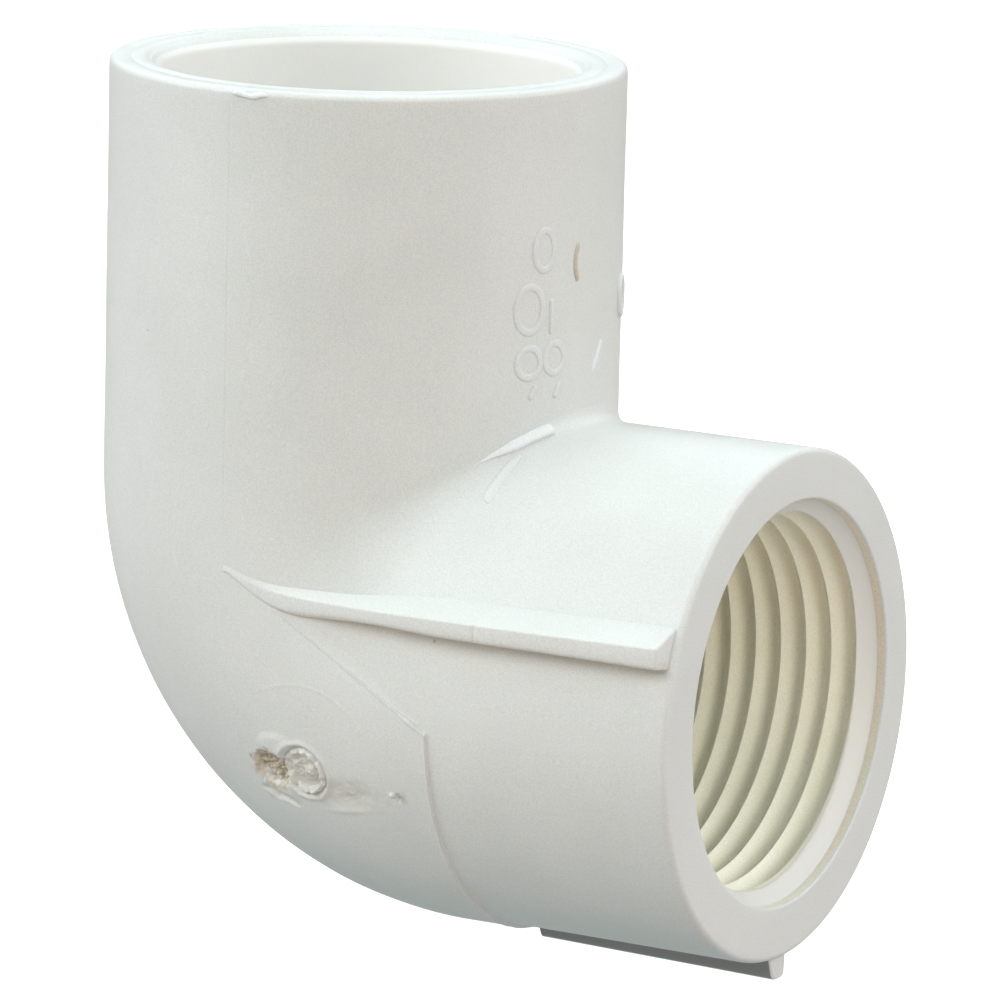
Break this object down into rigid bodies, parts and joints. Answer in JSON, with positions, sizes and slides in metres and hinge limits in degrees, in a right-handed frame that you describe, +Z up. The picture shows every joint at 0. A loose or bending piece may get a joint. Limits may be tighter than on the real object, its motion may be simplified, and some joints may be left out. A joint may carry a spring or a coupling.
{
  "type": "threaded pipe elbow",
  "caption": "Right-angle white PVC pipe elbow with a plain cement socket facing up and a female pipe thread facing sideways, with grip ribs along the threaded side.",
  "frame": {"origin": "where the centre lines of the socket and of the threaded outlet cross", "axes": "+Z up the socket's centre line and out of its mouth, +X along the threaded outlet's centre line and out of its face"},
  "size_m": [0.0487, 0.0338, 0.0563],
  "materials": {
    "pvc_body": "white moulded PVC, satin gloss, faint grain",
    "pvc_thread": "white moulded PVC inside the thread, slightly warmer where light passes through the wall",
    "pvc_detail": "white moulded PVC on ribs, fins, marks and the torn gate stub"
  },
  "bodies": {
    "root": {"slip_socket": "pvc_body", "elbow_bend": "pvc_body", "threaded_outlet": "pvc_body", "female_thread": "pvc_thread", "near_side_rib": "pvc_detail", "bottom_rib": "pvc_detail", "gate_stub": "pvc_detail", "near_throat_fin": "pvc_detail", "raised_mark_top_1": "pvc_detail", "raised_mark_top_2": "pvc_detail", "raised_mark_middle_1": "pvc_detail", "raised_mark_middle_2": "pvc_detail", "raised_mark_middle_3": "pvc_detail", "raised_mark_bottom_1": "pvc_detail", "raised_mark_bottom_2": "pvc_detail", "raised_mark_bottom_3": "pvc_detail", "raised_mark_lowest_1": "pvc_detail", "raised_mark_lowest_2": "pvc_detail"}
  },
  "joints": []
}
